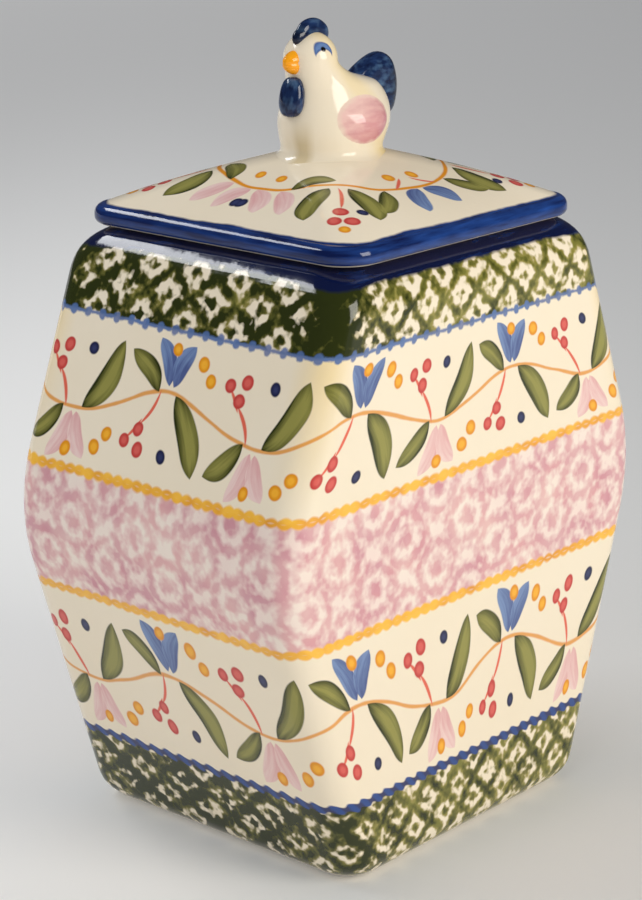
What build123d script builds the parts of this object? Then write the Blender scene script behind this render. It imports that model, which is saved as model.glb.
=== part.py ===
from build123d import *
import os
from math import atan, cos

# Glazed stoneware canister with a lift-off lid and a hen for its knob.
# Millimetres, +Z up. The origin is the middle of the base, and the two hexagonal faces look along -Y and +Y.

# Jar: a hexagon seen from the front, given depth along Y
JAR_HEIGHT = 200.0
JAR_DEPTH = 123.6
TOP_WIDTH = 123.8
FOLD_WIDTH = 189.6
BASE_WIDTH = 119.0
FOLD_HEIGHT = 112.2
WALL = 6.0
FLOOR_THICKNESS = 8.0
RIM_THICKNESS = 10.0
FOLD_RADIUS = 60.0
SHOULDER_RADIUS = 12.0
BASE_RADIUS = 12.0
SEAT_CORNER_RADIUS = 3.0
CAVITY_CORNER_RADIUS = 6.0
FOOT_RING_WIDTH = 8.0
FOOT_RECESS = 1.5
SEAT_WIDTH = 7.1
MOUTH_CORNER_RADIUS = 13.0
MOUTH_EDGE_RADIUS = 1.5

# Lid: a domed plate that rests on the jar's flat rim, with a skirt that drops into the mouth
LID_SETBACK = 3.9
LID_CORNER_RADIUS = 12.5
LID_EDGE = 7.0
LID_EDGE_RADIUS = 3.2
LID_RISE = 14.5
LID_WALL = 6.0
DOME_FULLNESS = 1.15
CROWN_MARGIN = 1.0
CROWN_CORNER_SHARE = 0.45
SKIRT_DEPTH = 11.0
SKIRT_WALL = 6.0
SKIRT_CLEARANCE = 1.5

# Seal: a soft ring with two lips, in a groove around the skirt
SEAL_HEIGHT = 5.0
SEAL_DROP = 2.5
SEAL_LIP = 1.2
SEAL_CLEARANCE = 0.3
GROOVE_DEPTH = 2.0

# Hen: levels are heights above the lid's crown, reaches are distances ahead of the lid's centre
HEN_BASE_LENGTH = 33.0
HEN_BASE_WIDTH = 27.6
HEN_BODY_LENGTH = 41.4
HEN_BODY_WIDTH = 32.0
HEN_BODY_LEVEL = 11.5
HEN_BODY_REACH = -1.4
HEN_BACK_LENGTH = 35.4
HEN_BACK_WIDTH = 24.0
HEN_BACK_LEVEL = 21.5
HEN_BACK_REACH = -0.4
HEN_NECK_LENGTH = 22.2
HEN_NECK_WIDTH = 19.2
HEN_NECK_LEVEL = 26.0
HEN_NECK_REACH = 6.5
HEN_HEAD_DIAMETER = 17.4
HEN_HEAD_LEVEL = 31.0
HEN_HEAD_REACH = 9.8

# Comb, beak and wattle on the hen's head and throat
COMB_FRONT_LOBE = 4.8
COMB_LOBE = 8.6
COMB_LEAN = 36.0
COMB_STEP = 27.0
COMB_THICKNESS = 6.0
BEAK_DIAMETER = 7.0
BEAK_LENGTH = 3.6
BEAK_TIP_DIAMETER = 3.0
BEAK_TIP_ROUNDING = 0.9
WATTLE_HEIGHT = 12.4
WATTLE_WIDTH = 8.6
WATTLE_THICKNESS = 6.0
WATTLE_DROP = 1.7
WATTLE_PROUD = 3.8

# Wings on its flanks and the tail at its back
WING_LENGTH = 22.0
WING_HEIGHT = 18.0
WING_THICKNESS = 10.0
WING_PROUD = 1.9
TAIL_REACH = 4.4
TAIL_TOP_REACH = 2.1
TAIL_HEIGHT = 18.4
TAIL_SPREAD = 18.0
TAIL_FRONT_HEIGHT = 8.0
TAIL_RIM_BULGE = 3.8
TAIL_BACK_BULGE = 2.2
TAIL_THICKNESS = 8.0
TAIL_EDGE_RADIUS = 3.0
TAIL_TOP_RADIUS = 4.0

# Worked out from the sizes above
UPRIGHT_RADIUS = max(SHOULDER_RADIUS, BASE_RADIUS) + SEAT_CORNER_RADIUS
LID_WIDTH = TOP_WIDTH - 2 * LID_SETBACK
LID_DEPTH = JAR_DEPTH - 2 * LID_SETBACK
MOUTH_WIDTH = TOP_WIDTH - 2 * (SHOULDER_RADIUS + SEAT_WIDTH)
MOUTH_DEPTH = JAR_DEPTH - 2 * (SHOULDER_RADIUS + SEAT_WIDTH)
EDGE_TOP = JAR_HEIGHT + LID_EDGE
CROWN = EDGE_TOP + LID_RISE
CROWN_WIDTH = HEN_BASE_LENGTH + 2 * CROWN_MARGIN
CROWN_DEPTH = HEN_BASE_WIDTH + 2 * CROWN_MARGIN
HEAD_LEVEL = CROWN + HEN_HEAD_LEVEL
HEAD_RADIUS = HEN_HEAD_DIAMETER / 2
EPSILON = 0.001

# The most of a wall's thickness that one rounded edge takes
FILLET_SHARE = 0.48


def hexagon_block(inset, low, high, fold_radius, upright_radius, shoulder_radius, base_radius):
    """The jar's form, drawn in by inset on every side and cut off level at low and high."""
    lower_lean = (FOLD_WIDTH - BASE_WIDTH) / 2 / FOLD_HEIGHT
    upper_lean = (FOLD_WIDTH - TOP_WIDTH) / 2 / (JAR_HEIGHT - FOLD_HEIGHT)
    lower_inset = inset / cos(atan(lower_lean))
    upper_inset = inset / cos(atan(upper_lean))
    fold = FOLD_HEIGHT + (lower_inset - upper_inset) / (lower_lean + upper_lean)
    base_half = BASE_WIDTH / 2 + lower_lean * low - lower_inset
    fold_half = BASE_WIDTH / 2 + lower_lean * fold - lower_inset
    top_half = TOP_WIDTH / 2 + upper_lean * (JAR_HEIGHT - high) - upper_inset
    outline = Plane.XZ * Polygon(
        (-base_half, low), (base_half, low), (fold_half, fold),
        (top_half, high), (-top_half, high), (-fold_half, fold), align=None)
    folds = outline.vertices().filter_by(lambda corner: abs(corner.Z - fold) < EPSILON)
    outline = fillet(folds, fold_radius)
    block = extrude(outline, amount=JAR_DEPTH / 2 - inset, both=True)
    ends = block.faces().filter_by(Axis.Y)
    uprights = ends.edges().filter_by(lambda edge: low + EPSILON < edge.center().Z < high - EPSILON)
    block = fillet(uprights, upright_radius)
    block = fillet(block.faces().sort_by(Axis.Z)[-1].edges(), shoulder_radius)
    return fillet(block.faces().sort_by(Axis.Z)[0].edges(), base_radius)


def level_block(width, depth, corner, low, high):
    """An upright block with rounded corners, from one level to another."""
    return extrude(Pos(0, 0, low) * RectangleRounded(width, depth, corner), amount=high - low)


def make_jar():
    """Hollow jar with a flat rim, a mouth through it and a ring to stand on."""
    outer = hexagon_block(0, 0, JAR_HEIGHT, FOLD_RADIUS, UPRIGHT_RADIUS, SHOULDER_RADIUS, BASE_RADIUS)
    cavity = hexagon_block(
        WALL, FLOOR_THICKNESS, JAR_HEIGHT - RIM_THICKNESS, FOLD_RADIUS - WALL, UPRIGHT_RADIUS - WALL,
        CAVITY_CORNER_RADIUS, CAVITY_CORNER_RADIUS)
    mouth = level_block(MOUTH_WIDTH, MOUTH_DEPTH, MOUTH_CORNER_RADIUS, FOLD_HEIGHT, JAR_HEIGHT)
    jar = outer - cavity - mouth
    rim = jar.faces().filter_by(Axis.Z).sort_by(Axis.Z)[-1]
    jar = fillet(rim.inner_wires()[0].edges(), MOUTH_EDGE_RADIUS)
    foot = jar.faces().filter_by(Axis.Z).sort_by(Axis.Z)[0].bounding_box().size
    recess = level_block(
        foot.X - 2 * FOOT_RING_WIDTH, foot.Y - 2 * FOOT_RING_WIDTH, SEAT_CORNER_RADIUS, 0, FOOT_RECESS)
    return jar - recess


def dome(width, depth, corner, low, high):
    """A soft four-sided dome that draws in to the flat crown under the hen."""
    crown_corner = CROWN_CORNER_SHARE * min(CROWN_WIDTH, CROWN_DEPTH)
    sections = []
    for share in (0, 1 / 3, 2 / 3, 1):
        drawn = share ** DOME_FULLNESS
        section = RectangleRounded(
            width + (CROWN_WIDTH - width) * drawn,
            depth + (CROWN_DEPTH - depth) * drawn,
            corner + (crown_corner - corner) * drawn)
        sections.append(Pos(0, 0, low + (high - low) * share) * section)
    return loft(sections)


def make_lid():
    """Domed lid, hollow below, with the skirt and the groove for the seal."""
    edge_radius = min(LID_EDGE_RADIUS, FILLET_SHARE * LID_EDGE)
    plate = level_block(LID_WIDTH, LID_DEPTH, LID_CORNER_RADIUS, JAR_HEIGHT, EDGE_TOP)
    plate = fillet(plate.faces().filter_by(Axis.Z).edges(), edge_radius)
    top = dome(
        LID_WIDTH - 2 * edge_radius, LID_DEPTH - 2 * edge_radius, LID_CORNER_RADIUS - edge_radius, EDGE_TOP, CROWN)

    skirt_width = MOUTH_WIDTH - 2 * SKIRT_CLEARANCE
    skirt_depth = MOUTH_DEPTH - 2 * SKIRT_CLEARANCE
    skirt_corner = MOUTH_CORNER_RADIUS - SKIRT_CLEARANCE
    skirt_foot = JAR_HEIGHT - SKIRT_DEPTH
    skirt = level_block(skirt_width, skirt_depth, skirt_corner, skirt_foot, EDGE_TOP)

    hollow_width = skirt_width - 2 * (GROOVE_DEPTH + SKIRT_WALL)
    hollow_depth = skirt_depth - 2 * (GROOVE_DEPTH + SKIRT_WALL)
    hollow_corner = skirt_corner - GROOVE_DEPTH
    hollow = level_block(hollow_width, hollow_depth, hollow_corner, skirt_foot, JAR_HEIGHT)
    ceiling = dome(hollow_width, hollow_depth, hollow_corner, JAR_HEIGHT, CROWN - LID_WALL)
    return plate + top + skirt - hollow - ceiling - seal_ring(SKIRT_CLEARANCE)


def seal_ring(clearance):
    """A plain ring in the skirt's groove that reaches to a clearance from the mouth's wall."""
    top = JAR_HEIGHT - SEAL_DROP
    bottom = top - SEAL_HEIGHT
    inner = SKIRT_CLEARANCE + GROOVE_DEPTH
    rings = []
    for inset in (clearance, inner):
        rings.append(level_block(
            MOUTH_WIDTH - 2 * inset, MOUTH_DEPTH - 2 * inset, MOUTH_CORNER_RADIUS - inset, bottom, top))
    return rings[0] - rings[1]


def make_seal():
    """Seal ring: flush with the skirt at its waist, with a lip at its top and one at its foot."""
    top = JAR_HEIGHT - SEAL_DROP
    waist = level_block(
        MOUTH_WIDTH, MOUTH_DEPTH, MOUTH_CORNER_RADIUS, top - SEAL_HEIGHT + SEAL_LIP, top - SEAL_LIP)
    return seal_ring(SEAL_CLEARANCE) - (waist - seal_ring(SKIRT_CLEARANCE))


def make_hen_body():
    """The hen's body, neck and head as one plump casting with a flat foot."""
    levels = (
        (0, 0, HEN_BASE_LENGTH, HEN_BASE_WIDTH),
        (HEN_BODY_LEVEL, HEN_BODY_REACH, HEN_BODY_LENGTH, HEN_BODY_WIDTH),
        (HEN_BACK_LEVEL, HEN_BACK_REACH, HEN_BACK_LENGTH, HEN_BACK_WIDTH),
        (HEN_NECK_LEVEL, HEN_NECK_REACH, HEN_NECK_LENGTH, HEN_NECK_WIDTH),
        (HEN_HEAD_LEVEL, HEN_HEAD_REACH, HEN_HEAD_DIAMETER, HEN_HEAD_DIAMETER),
    )
    sections = []
    for level, reach, length, width in levels:
        sections.append(Pos(-reach, 0, CROWN + level) * Ellipse(length / 2, width / 2))
    return loft(sections) + Pos(-HEN_HEAD_REACH, 0, HEAD_LEVEL) * Sphere(HEAD_RADIUS)


def egg(length, width, height):
    """A smooth lump with its own size along each axis."""
    return scale(Sphere(0.5), by=(length, width, height))


def make_comb():
    """Three rounded lobes over the crown of the head, the front one smaller."""
    comb = []
    for index, size in enumerate((COMB_FRONT_LOBE, COMB_LOBE, COMB_LOBE)):
        turn = Rot(0, index * COMB_STEP - COMB_LEAN, 0)
        lobe = Pos(0, 0, HEAD_RADIUS) * egg(size, COMB_THICKNESS, size)
        comb.append(Pos(-HEN_HEAD_REACH, 0, HEAD_LEVEL) * turn * lobe)
    return comb[0] + comb[1] + comb[2]


def make_beak():
    """A short blunt cone at the front of the head, on a root that is let into it."""
    tip_radius = BEAK_TIP_DIAMETER / 2
    cone = Cone(BEAK_DIAMETER / 2, tip_radius, BEAK_LENGTH, align=(Align.CENTER, Align.CENTER, Align.MIN))
    cone = fillet(cone.edges().sort_by(Axis.Z)[-1], BEAK_TIP_ROUNDING * tip_radius)
    root = Cylinder(BEAK_DIAMETER / 2, HEAD_RADIUS / 2, align=(Align.CENTER, Align.CENTER, Align.MAX))
    return Pos(-HEN_HEAD_REACH - HEAD_RADIUS, 0, HEAD_LEVEL) * Rot(0, -90, 0) * (cone + root)


def make_wattle():
    """A drop of clay on the throat, below the beak."""
    throat = -HEN_BACK_REACH - HEN_BACK_LENGTH / 2 - WATTLE_PROUD + WATTLE_THICKNESS / 2
    drop = egg(WATTLE_THICKNESS, WATTLE_WIDTH, WATTLE_HEIGHT)
    return Pos(throat, 0, CROWN + HEN_BACK_LEVEL - WATTLE_DROP) * drop


def make_wing(side):
    """A shallow oval wing that stands proud of one flank."""
    flank = HEN_BODY_WIDTH / 2 + WING_PROUD - WING_THICKNESS / 2
    return Pos(-HEN_BODY_REACH, side * flank, CROWN + HEN_BODY_LEVEL) * egg(WING_LENGTH, WING_THICKNESS, WING_HEIGHT)


def make_tail():
    """An upright fan at the rump, rounded along its rim."""
    rump = HEN_BODY_LENGTH / 2 - HEN_BODY_REACH
    foot = CROWN + HEN_BODY_LEVEL
    tip = (rump + TAIL_REACH, foot)
    top = (rump + TAIL_TOP_REACH, foot + TAIL_HEIGHT)
    front = (rump - TAIL_SPREAD, foot + TAIL_FRONT_HEIGHT)
    rim = SagittaArc(tip, top, -TAIL_RIM_BULGE)
    back = SagittaArc(top, front, -TAIL_BACK_BULGE)
    root = Polyline(front, (rump - TAIL_SPREAD, foot), tip)
    outline = Plane.XZ * make_face([rim, back, root])
    outline = fillet(outline.vertices().sort_by(Axis.Z)[-1], TAIL_TOP_RADIUS)
    fan = extrude(outline, amount=TAIL_THICKNESS / 2, both=True)
    curved = fan.faces().filter_by(Axis.Y).edges().filter_by(GeomType.CIRCLE)
    return fillet(curved, min(TAIL_EDGE_RADIUS, FILLET_SHARE * TAIL_THICKNESS))


os.makedirs("parts", exist_ok=True)
hen = make_hen_body()
pieces = {
    "jar_body": make_jar(),
    "lid": make_lid(),
    "lid_seal": make_seal(),
    "hen_body": hen,
    "hen_comb": make_comb() - hen,
    "hen_beak": make_beak() - hen,
    "hen_wattle": make_wattle() - hen,
    "hen_left_wing": make_wing(-1) - hen,
    "hen_right_wing": make_wing(1) - hen,
    "hen_tail": make_tail() - hen,
}
for name, piece in pieces.items():
    export_step(piece, f"parts/{name}.step")
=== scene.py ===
from math import acos, cos, hypot, pi, radians, sin, sqrt, tan

import bmesh
import bpy
import numpy as np
from mathutils import Matrix, Vector


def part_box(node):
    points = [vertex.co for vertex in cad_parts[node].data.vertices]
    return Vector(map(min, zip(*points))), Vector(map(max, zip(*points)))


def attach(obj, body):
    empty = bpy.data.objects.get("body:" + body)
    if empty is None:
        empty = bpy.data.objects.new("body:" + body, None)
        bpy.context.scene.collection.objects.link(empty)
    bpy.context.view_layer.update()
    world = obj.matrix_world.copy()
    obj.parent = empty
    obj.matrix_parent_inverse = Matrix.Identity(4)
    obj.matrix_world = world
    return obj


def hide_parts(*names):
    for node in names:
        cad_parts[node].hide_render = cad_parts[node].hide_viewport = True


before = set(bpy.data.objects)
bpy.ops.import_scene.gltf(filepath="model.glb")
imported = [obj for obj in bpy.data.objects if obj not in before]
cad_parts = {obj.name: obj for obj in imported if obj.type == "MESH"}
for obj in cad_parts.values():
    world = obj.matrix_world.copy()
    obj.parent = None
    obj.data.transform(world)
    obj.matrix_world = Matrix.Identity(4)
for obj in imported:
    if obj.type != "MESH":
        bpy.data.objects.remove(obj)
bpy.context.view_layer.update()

# Jar
# Slip-cast stoneware, six-sided from the front and square from above, with a rolled shoulder and flat rim.
# It is glazed cream all over but for the ring that it stands on, and banded and painted by hand.

MM = 0.001
JAR_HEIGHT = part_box("jar_body")[1].z / MM
FOLD_LEVEL = 112.2
FOLD_ROUND = 60.0
SHOULDER_ROUND = 15.0
BASE_ROUND = 10.5

# The upright corners are tighter than the solid's, so the faces lie a little inside its own, which
# keeps the jar as wide from corner to corner.
SOLID_CORNER = 15.0
CORNER = 10.3
DRAWN_IN = (1 - sqrt(0.5)) * (SOLID_CORNER - CORNER)
JAR_HALF_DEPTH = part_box("jar_body")[1].y / MM - DRAWN_IN
TOP_HALF = 61.9 - DRAWN_IN
FOLD_HALF = 94.8 - DRAWN_IN
BASE_HALF = 59.5 - DRAWN_IN

WALL = 6.0
FLOOR_LEVEL = 8.0
RIM_THICKNESS = 10.0
RIM_UNDERSIDE = JAR_HEIGHT - RIM_THICKNESS
FOOT_WIDTH = 8.0
FOOT_RECESS = 1.5
MOUTH_HALF = (42.8, 42.7)
MOUTH_ROUND = 13.0
MOUTH_LIP = 1.5
MOUTH_CHAMFER = (0.6, 0.4)

# How finely the surfaces are divided, and the smallest ring, which a fan of faces closes
CORNER_STEPS = 8
SIDE_STEPS = 22
ROUND_STEPS = 12
HEIGHT_STEPS = 61
CLOSEST_LEVELS = 0.02
LIP_STEPS = 5
WALL_STEPS = 30
WALL_ROUND_STEPS = 7
FAN_HALF = 4.0
FAN_CORNER = 2.0

# The painted repeat: so many along each of the +X, +Y, -X and -Y faces, each about this wide
REPEAT = 40.0
FACE_REPEATS = (3, 4, 3, 4)

# The painted level is the height outside. It runs on over the rim and inside, and below 0 under the foot.
RIM_PAINT = JAR_HEIGHT + 6.0
LIP_PAINT = 4.0
MOUTH_PAINT = JAR_HEIGHT + 20.0
CHAMFER_PAINT = JAR_HEIGHT + 21.0
WALL_PAINT = JAR_HEIGHT + 40.0
FLOOR_PAINT = JAR_HEIGHT + 60.0
MIDDLE_PAINT = JAR_HEIGHT + 70.0


def square_ring(half_x, half_y, radius, level):
    """Points round a level rectangle with rounded corners, anticlockwise from the +X -Y corner's middle."""
    points = []
    for face in range(4):
        reach, half = (half_x, half_y) if face % 2 == 0 else (half_y, half_x)
        out = np.array((cos(face * pi / 2), sin(face * pi / 2), 0))
        ahead = np.array((-out[1], out[0], 0))
        centre = out * (reach - radius) + np.array((0, 0, level))
        turns = np.linspace(-pi / 4, 0, CORNER_STEPS + 1)
        for turn in turns[:-1]:
            run = radius * sin(turn) - half + radius
            points.append(centre + ahead * run + out * radius * cos(turn))
        for run in np.linspace(radius - half, half - radius, SIDE_STEPS + 1):
            points.append(centre + ahead * run + out * radius)
        for turn in -turns[-2:0:-1]:
            run = half - radius + radius * sin(turn)
            points.append(centre + ahead * run + out * radius * cos(turn))
    return np.array(points)


def wrap_of(ring, level):
    """Where each point of a ring lies along the painted repeats, and its painted level."""
    per_face = len(ring) // 4
    lengths = np.linalg.norm(np.roll(ring, -1, axis=0) - ring, axis=1).reshape(4, per_face)
    along = [0.0]
    for face, repeats in enumerate(FACE_REPEATS):
        shares = np.cumsum(lengths[face]) / lengths[face].sum()
        along.extend(sum(FACE_REPEATS[:face]) + repeats * shares)
    return np.stack([np.array(along) * REPEAT, np.full(len(along), level)], axis=1)


def lay_mesh(name, rings, wraps=None, loop=False):
    """A smooth closed mesh through rings of points in millimetres, fanned shut at its ends or looped."""
    count = len(rings[0])
    points = np.concatenate([*rings, rings[0].mean(0)[None], rings[-1].mean(0)[None]]) * MM
    faces = []
    corners = []
    for row in range(len(rings) if loop else len(rings) - 1):
        above = (row + 1) % len(rings)
        low, high = row * count, above * count
        for step in range(count):
            ahead = (step + 1) % count
            faces.append((low + step, low + ahead, high + ahead, high + step))
            corners.extend([(row, step), (row, step + 1), (above, step + 1), (above, step)])
    if not loop:
        last = len(rings) - 1
        for step in range(count):
            ahead = (step + 1) % count
            faces.append((len(points) - 2, ahead, step))
            corners.extend([(0, step), (0, step + 1), (0, step)])
            faces.append((last * count + step, last * count + ahead, len(points) - 1))
            corners.extend([(last, step), (last, step + 1), (last, step)])
    else:
        points = points[:-2]
    mesh = bpy.data.meshes.new(name)
    mesh.from_pydata(points.tolist(), [], faces)
    if wraps is not None:
        layer = mesh.uv_layers.new(name="wrap")
        layer.uv.foreach_set("vector", np.array([wraps[row][step] for row, step in corners]).ravel())
    solid = bmesh.new()
    solid.from_mesh(mesh)
    bmesh.ops.recalc_face_normals(solid, faces=solid.faces)
    solid.to_mesh(mesh)
    solid.free()
    mesh.shade_smooth()
    piece = bpy.data.objects.new(name, mesh)
    bpy.context.scene.collection.objects.link(piece)
    return piece


def rounded_corner(before, corner, after, radius):
    """Points of the arc that rounds one corner of an outline."""
    before, corner, after = (np.array(point, float) for point in (before, corner, after))
    inward = (before - corner) / np.linalg.norm(before - corner)
    onward = (after - corner) / np.linalg.norm(after - corner)
    half_angle = acos(inward @ onward) / 2
    centre = corner + (inward + onward) / np.linalg.norm(inward + onward) * radius / sin(half_angle)
    first = corner + inward * radius / tan(half_angle) - centre
    last = corner + onward * radius / tan(half_angle) - centre
    turn = acos(first @ last / radius ** 2)
    shares = np.linspace(0, 1, ROUND_STEPS + 1)[:, None]
    return centre + (np.sin((1 - shares) * turn) * first + np.sin(shares * turn) * last) / sin(turn)


base, fold, top = (BASE_HALF, 0), (FOLD_HALF, FOLD_LEVEL), (TOP_HALF, JAR_HEIGHT)
front_base, front_top = (JAR_HALF_DEPTH, 0), (JAR_HALF_DEPTH, JAR_HEIGHT)
side_outline = np.concatenate([
    rounded_corner((0, 0), base, fold, BASE_ROUND),
    rounded_corner(base, fold, top, FOLD_ROUND),
    rounded_corner(fold, top, (0, JAR_HEIGHT), SHOULDER_ROUND)])
front_outline = np.concatenate([
    rounded_corner((0, 0), front_base, front_top, BASE_ROUND),
    rounded_corner(front_base, front_top, (0, JAR_HEIGHT), SHOULDER_ROUND)])


def jar_halves(level):
    """The jar's half width and half depth at a level."""
    half_width = np.interp(level, side_outline[:, 1], side_outline[:, 0])
    half_depth = np.interp(level, front_outline[:, 1], front_outline[:, 0])
    return half_width, half_depth


# Under the jar: how far each ring lies inside the foot's outline, its level and its painted level
foot = jar_halves(0)
FOOT_PROFILE = (
    (foot[0] - FAN_HALF, FOOT_RECESS, -30.0),
    (FOOT_WIDTH + 8.0, FOOT_RECESS, -20.0),
    (FOOT_WIDTH + 0.6, FOOT_RECESS, -10.0),
    (FOOT_WIDTH, FOOT_RECESS - 0.5, -9.4),
    (FOOT_WIDTH - 0.3, 0.0, -8.5),
    (0.4, 0.0, -0.4))

# On the floor inside: each ring's half size, corner and painted level
FLOOR_PROFILE = ((30.0, 12.0, FLOOR_PAINT), (FAN_HALF, FAN_CORNER, MIDDLE_PAINT))

jar_rings = []
for inset, level, paint in FOOT_PROFILE:
    corner = max(FAN_CORNER, CORNER - inset)
    jar_rings.append((foot[0] - inset, foot[1] - inset, corner, level, paint))
even_levels = np.linspace(0, JAR_HEIGHT, HEIGHT_STEPS)
levels = np.unique(np.concatenate([side_outline[:, 1], front_outline[:, 1], even_levels]))
levels = levels[np.append(True, np.diff(levels) > CLOSEST_LEVELS)]
for level in levels:
    jar_rings.append((*jar_halves(level), CORNER, level, level))
for drop in np.linspace(0, pi / 2, LIP_STEPS):
    out = MOUTH_LIP * (1 - sin(drop))
    level = JAR_HEIGHT - MOUTH_LIP * (1 - cos(drop))
    paint = RIM_PAINT + LIP_PAINT * drop
    jar_rings.append((MOUTH_HALF[0] + out, MOUTH_HALF[1] + out, MOUTH_ROUND + out, level, paint))
jar_rings.append((*MOUTH_HALF, MOUTH_ROUND, RIM_UNDERSIDE + MOUTH_CHAMFER[1], MOUTH_PAINT))
chamfered = [half + MOUTH_CHAMFER[0] for half in MOUTH_HALF]
jar_rings.append((*chamfered, MOUTH_ROUND, RIM_UNDERSIDE, CHAMFER_PAINT))
wall_round = WALL * (1 - np.cos(np.linspace(0, pi / 2, WALL_ROUND_STEPS)))
for level in np.concatenate([
        RIM_UNDERSIDE - wall_round,
        np.linspace(RIM_UNDERSIDE - WALL, FLOOR_LEVEL + WALL, WALL_STEPS)[1:-1],
        FLOOR_LEVEL + wall_round[::-1]]):
    near_end = max(0, WALL - min(RIM_UNDERSIDE - level, level - FLOOR_LEVEL))
    inset = WALL + WALL - np.sqrt(WALL ** 2 - near_end ** 2)
    half_width = jar_halves(level)[0] - inset
    jar_rings.append((half_width, JAR_HALF_DEPTH - inset, SOLID_CORNER - WALL, level, WALL_PAINT))
for half, corner, paint in FLOOR_PROFILE:
    jar_rings.append((half, half, corner, FLOOR_LEVEL, paint))
rings = [square_ring(*shape) for *shape, _ in jar_rings]
wraps = [wrap_of(ring, paint) for ring, (*_, paint) in zip(rings, jar_rings)]
jar = lay_mesh("jar", rings, wraps)


class Shade:
    """One output of a shader node. Operators on it add Math nodes to its tree."""

    def __init__(self, tree, socket=None):
        self.tree = tree
        self.socket = socket

    def node(self, kind, settings, inputs, output=0):
        """Adds a node, sets it up, gives its sockets values or links, and returns one of its outputs."""
        made = self.tree.nodes.new(kind)
        for name, value in settings.items():
            setattr(made, name, value)
        for name, value in inputs.items():
            if isinstance(value, Shade):
                self.tree.links.new(value.socket, made.inputs[name])
            else:
                made.inputs[name].default_value = value
        return Shade(self.tree, made.outputs[output])

    def math(self, operation, *values, clamp=False):
        settings = {"operation": operation, "use_clamp": clamp}
        return self.node("ShaderNodeMath", settings, dict(enumerate(values)))

    def __add__(self, other):
        return self.math("ADD", self, other)

    def __radd__(self, other):
        return self.math("ADD", other, self)

    def __sub__(self, other):
        return self.math("SUBTRACT", self, other)

    def __rsub__(self, other):
        return self.math("SUBTRACT", other, self)

    def __mul__(self, other):
        return self.math("MULTIPLY", self, other)

    def __rmul__(self, other):
        return self.math("MULTIPLY", other, self)

    def __truediv__(self, other):
        return self.math("DIVIDE", self, other)

    def __gt__(self, other):
        return self.math("GREATER_THAN", self, other)

    def __lt__(self, other):
        return self.math("LESS_THAN", self, other)

    def __abs__(self):
        return self.math("ABSOLUTE", self)

    def parts(self):
        """The three numbers of a vector."""
        first = self.node("ShaderNodeSeparateXYZ", {}, {0: self})
        return [Shade(self.tree, output) for output in first.socket.node.outputs]


def tone(red, green, blue):
    """A colour given as it looks on a screen, from 0 to 255, as the shader needs it."""
    shares = np.array((red, green, blue)) / 255
    linear = np.where(shares > 0.04045, ((shares + 0.055) / 1.055) ** 2.4, shares / 12.92)
    return (*linear.tolist(), 1.0)


def edge(inside, softness):
    """A mask that goes from 0 to 1 over a soft edge, given how far inside a shape a point lies."""
    return inside.math("MULTIPLY_ADD", inside, 1 / softness, 0.5, clamp=True)


def between(value, low, high, softness):
    """A mask that is 1 between two limits and has soft edges."""
    return edge(value - low, softness) * edge(high - value, softness)


def larger(first, *others):
    """The largest of several numbers."""
    for other in others:
        first = first.math("MAXIMUM", first, other)
    return first


def from_middle(repeats):
    """Where in its own repeat a point lies, from -0.5 to 0.5, given how many repeats along it is."""
    return repeats.math("FRACT", repeats) - 0.5


def from_centre(across, up):
    """How far a point lies from the middle of a drawing."""
    square = across * across + up * up
    return square.math("SQRT", square)


def coat(mask, under, over):
    """One colour brushed over another where the mask says."""
    return mask.node("ShaderNodeMix", {"data_type": "RGBA"}, {0: mask, 6: under, 7: over}, 2)


def mottle(where, size, detail=2.0):
    """Uneven patches of about one size in millimetres, from 0 to 1."""
    return where.node("ShaderNodeTexNoise", {}, {"Vector": where, "Scale": 1 / size, "Detail": detail})


def wander(where, size, reach):
    """How far a brush strays from its line, in millimetres, as three numbers."""
    stray = where.node("ShaderNodeTexNoise", {}, {"Vector": where, "Scale": 1 / size, "Detail": 1.0}, 1)
    return [(part - 0.5) * reach for part in stray.parts()]


def new_glaze(name):
    """A new material, and each point's place in it in millimetres."""
    material = bpy.data.materials.new(name)
    material.use_nodes = True
    place = Shade(material.node_tree).node("ShaderNodeTexCoord", {}, {}, "Object")
    where = place.node("ShaderNodeVectorMath", {"operation": "SCALE"}, {0: place, "Scale": 1 / MM})
    return material, where


GLAZE_INDEX = 1.5
GLAZE_ROUGHNESS = 0.07
UNEVEN_ROUGHNESS = 0.06
CLAY_ROUGHNESS = 0.7
GLAZE_PATCH = 9.0
WAVE_SIZE = 16.0
RIPPLE_SIZE = 2.2
RIPPLE_SHARE = 0.12
WAVE_STRENGTH = 0.35
WAVE_HEIGHT = 0.0006


def gloss(load):
    """How rough glossy glaze is, which varies a little with its load."""
    return GLAZE_ROUGHNESS + UNEVEN_ROUGHNESS * load


def fire(material, where, colour, roughness=None, index=GLAZE_INDEX):
    """Fires the glaze: sets its colour, its gloss and the slight waves of its surface."""
    shader = material.node_tree.nodes["Principled BSDF"]
    shader.inputs["IOR"].default_value = index
    links = material.node_tree.links
    links.new(colour.socket, shader.inputs["Base Color"])
    if roughness is None:
        roughness = gloss(mottle(where, GLAZE_PATCH))
    links.new(roughness.socket, shader.inputs["Roughness"])
    waves = mottle(where, WAVE_SIZE, 1.0) + RIPPLE_SHARE * mottle(where, RIPPLE_SIZE, 1.0)
    bump = where.node("ShaderNodeBump", {}, {
        "Strength": WAVE_STRENGTH, "Distance": WAVE_HEIGHT, "Height": waves})
    links.new(bump.socket, shader.inputs["Normal"])


STROKE_FULLNESS = 0.6

# Streaks in a stroke: how fast they change, and how much they fade, along it and across it
STREAK_GRAIN = (1.6, 0.8)
STREAK_FADE = (0.3, 0.06)


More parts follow.
